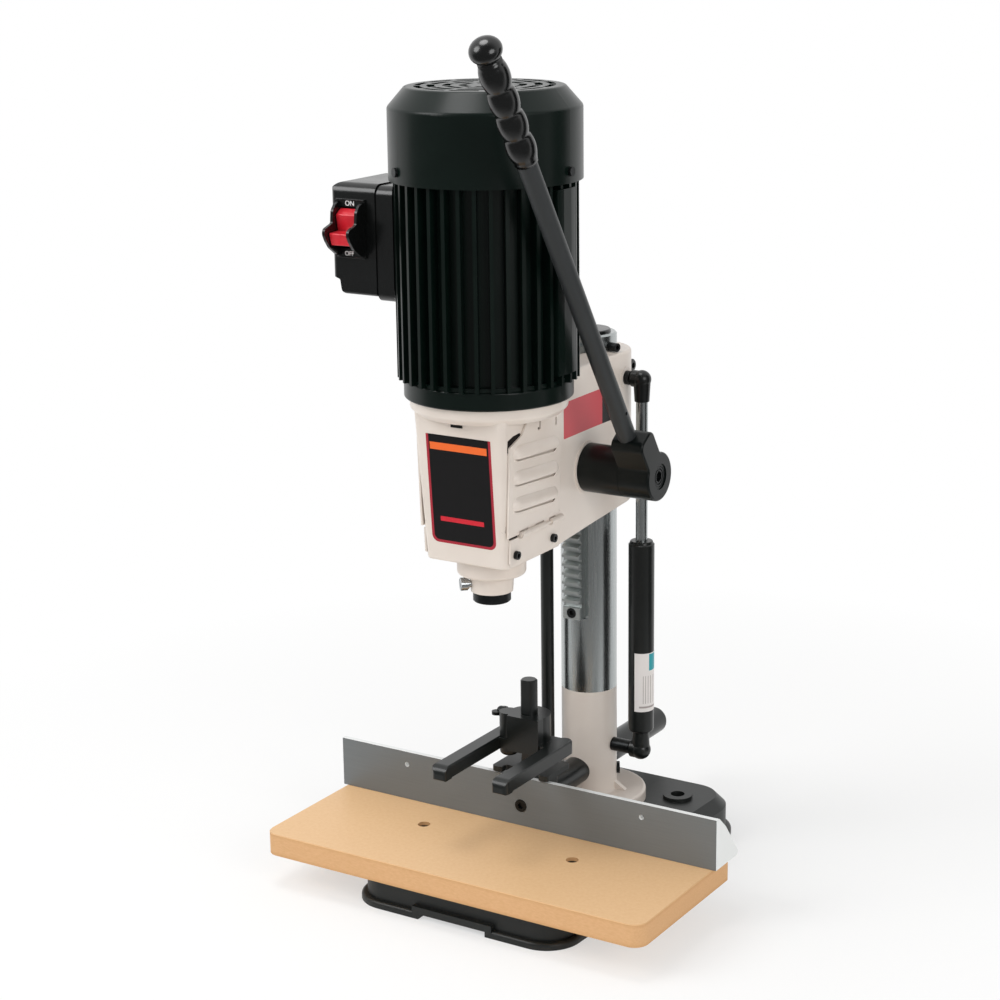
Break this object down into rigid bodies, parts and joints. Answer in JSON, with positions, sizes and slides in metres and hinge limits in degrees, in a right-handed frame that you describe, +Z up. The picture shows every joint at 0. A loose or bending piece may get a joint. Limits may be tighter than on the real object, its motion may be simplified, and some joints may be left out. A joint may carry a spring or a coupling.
{
  "type": "benchtop mortiser",
  "caption": "Benchtop hollow-chisel mortising machine: a motor head slides on a column by rack, pinion and lever over a table with a fence and a hold-down.",
  "frame": {"origin": "on the bench, straight below the column's axis", "axes": "+X to the operator's right, +Y to the back, +Z up the column"},
  "size_m": [0.3644, 0.4241, 0.7135],
  "materials": {
    "cream_paint": "semi-gloss cream enamel on a casting",
    "black_enamel": "satin black enamel on cast iron",
    "motor_black": "satin black-green enamel on aluminium",
    "black_plastic": "fine-grained black moulding",
    "red_plastic": "glossy red moulding",
    "black_oxide": "blackened steel",
    "bright_steel": "turned and ground steel",
    "chrome": "hard chrome",
    "fence_iron": "pale enamel with a machined grey face",
    "mdf": "sanded fibreboard, clear sealed",
    "strut_black": "satin black tube",
    "cast_steel": "milled steel, lightly oiled",
    "laminations": "stacked electrical steel",
    "fan_plastic": "moulded black plastic"
  },
  "bodies": {
    "base": {"base_casting": "black_enamel", "foot_bolts": "black_oxide", "column_foot": "cream_paint", "table_board": "mdf", "table_screws": "black_oxide", "column_tube": "chrome", "column_plug": "black_plastic", "rack": "cast_steel", "column_screws": "black_oxide", "depth_stop_rod": "black_oxide", "strut_cylinder": "strut_black", "strut_lower_socket": "black_plastic", "strut_lower_stud": "black_oxide"},
    "rod_lock": {"rod_lock_screw": "black_oxide"},
    "fence": {"fence_casting": "fence_iron", "fence_bolt": "black_oxide", "fence_rod": "black_oxide", "holddown_bracket": "black_enamel", "holddown_post": "black_oxide"},
    "holddown": {"holddown_fork": "black_enamel"},
    "holddown_screw": {"holddown_thumbscrew": "black_oxide"},
    "stop_collar": {"depth_stop_collar": "black_oxide"},
    "stop_screw": {"depth_stop_screw": "bright_steel"},
    "head": {"head_casting": "cream_paint", "front_plug": "black_plastic", "chisel_socket": "cream_paint", "chisel_bushing": "black_oxide", "hinge_leaves": "cream_paint", "hinge_screws": "black_oxide", "motor_bell": "motor_black", "motor_body": "motor_black", "stator": "laminations", "motor_top_shield": "motor_black", "bearings": "bright_steel", "fan_cover": "motor_black", "cover_screws": "black_oxide", "switch_box_base": "black_plastic", "switch_box_cover": "black_plastic", "switch_bezel": "black_plastic", "pinion_bushings": "bright_steel", "strut_rod": "chrome", "strut_upper_socket": "black_plastic", "strut_upper_stud": "black_oxide"},
    "chisel_clamp": {"chisel_screw": "bright_steel"},
    "door_right": {"right_door": "cream_paint"},
    "door_left": {"left_door": "cream_paint"},
    "head_lock": {"head_lock_lever": "black_oxide"},
    "spindle": {"motor_rotor": "bright_steel", "cooling_fan": "fan_plastic", "drill_chuck": "bright_steel"},
    "chuck_ring": {"chuck_sleeve": "bright_steel"},
    "pinion": {"pinion_gear": "cast_steel", "pinion_shaft": "bright_steel", "drive_hub": "black_enamel", "hub_screw": "black_oxide"},
    "handle": {"handle_hub": "black_enamel", "handle_rod": "black_enamel", "handle_grip": "black_plastic"},
    "paddle": {"switch_paddle": "red_plastic"},
    "key": {"switch_key": "red_plastic"}
  },
  "joints": [
    {"name": "head_slide", "type": "slide", "parent": "base", "child": "head", "axis": [0, 0, 1], "range_m": [-0.06, 0], "stiffness_N_per_m": 300, "springref_m": 1.05},
    {"name": "pinion_turn", "type": "hinge", "parent": "head", "child": "pinion", "pos_m": [0, -0.0645, 0.352], "axis": [1, 0, 0], "range_deg": [0, 98.3]},
    {"name": "handle_pull", "type": "slide", "parent": "pinion", "child": "handle", "axis": [1, 0, 0], "range_m": [0, 0.008], "stiffness_N_per_m": 2500, "springref_m": -0.008},
    {"name": "spindle_spin", "type": "hinge", "parent": "head", "child": "spindle", "pos_m": [0, -0.1551, 0.36], "axis": [0, 0, 1], "continuous": true},
    {"name": "chuck_ring_turn", "type": "hinge", "parent": "spindle", "child": "chuck_ring", "pos_m": [0, -0.1551, 0.342], "axis": [0, 0, 1], "range_deg": [-180, 180]},
    {"name": "right_door_swing", "type": "hinge", "parent": "head", "child": "door_right", "pos_m": [0.0415, -0.15, 0.32291], "axis": [0, 1, 0], "range_deg": [0, 110]},
    {"name": "left_door_swing", "type": "hinge", "parent": "head", "child": "door_left", "pos_m": [-0.0415, -0.15, 0.32291], "axis": [0, -1, 0], "range_deg": [0, 110]},
    {"name": "chisel_screw_turn", "type": "hinge", "parent": "head", "child": "chisel_clamp", "pos_m": [0, -0.1551, 0.273], "axis": [-0.7071, -0.7071, 0], "range_deg": [0, 180]},
    {"name": "head_lock_turn", "type": "hinge", "parent": "head", "child": "head_lock", "pos_m": [-0.024, 0.031, 0.4175], "axis": [1, 0, 0], "range_deg": [0, 90]},
    {"name": "switch_rock", "type": "hinge", "parent": "head", "child": "paddle", "pos_m": [-0.1006, -0.1876, 0.5543], "axis": [1, 0, 0], "range_deg": [-8, 0]},
    {"name": "key_pull", "type": "slide", "parent": "paddle", "child": "key", "axis": [0, -1, 0], "range_m": [0, 0.02]},
    {"name": "fence_slide", "type": "slide", "parent": "base", "child": "fence", "axis": [0, 1, 0], "range_m": [-0.035, 0.04]},
    {"name": "rod_lock_turn", "type": "hinge", "parent": "base", "child": "rod_lock", "pos_m": [0, 0, 0.061], "axis": [0.848, 0.5299, 0], "range_deg": [0, 180]},
    {"name": "holddown_slide", "type": "slide", "parent": "fence", "child": "holddown", "axis": [0, 0, 1], "range_m": [-0.0075, 0.028]},
    {"name": "holddown_screw_turn", "type": "hinge", "parent": "holddown", "child": "holddown_screw", "pos_m": [0, -0.1, 0.1395], "axis": [-0.9962, 0.0872, 0], "range_deg": [0, 180]},
    {"name": "stop_collar_slide", "type": "slide", "parent": "base", "child": "stop_collar", "axis": [0, 0, 1], "range_m": [0, 0.15]},
    {"name": "stop_screw_turn", "type": "hinge", "parent": "stop_collar", "child": "stop_screw", "pos_m": [-0.0265, -0.0255, 0.071], "axis": [0.9397, -0.342, 0], "range_deg": [0, 180]}
  ],
  "couplings": [
    {"joint": "pinion_turn", "follows": "head_slide", "rad_per_m": -28.571}
  ]
}
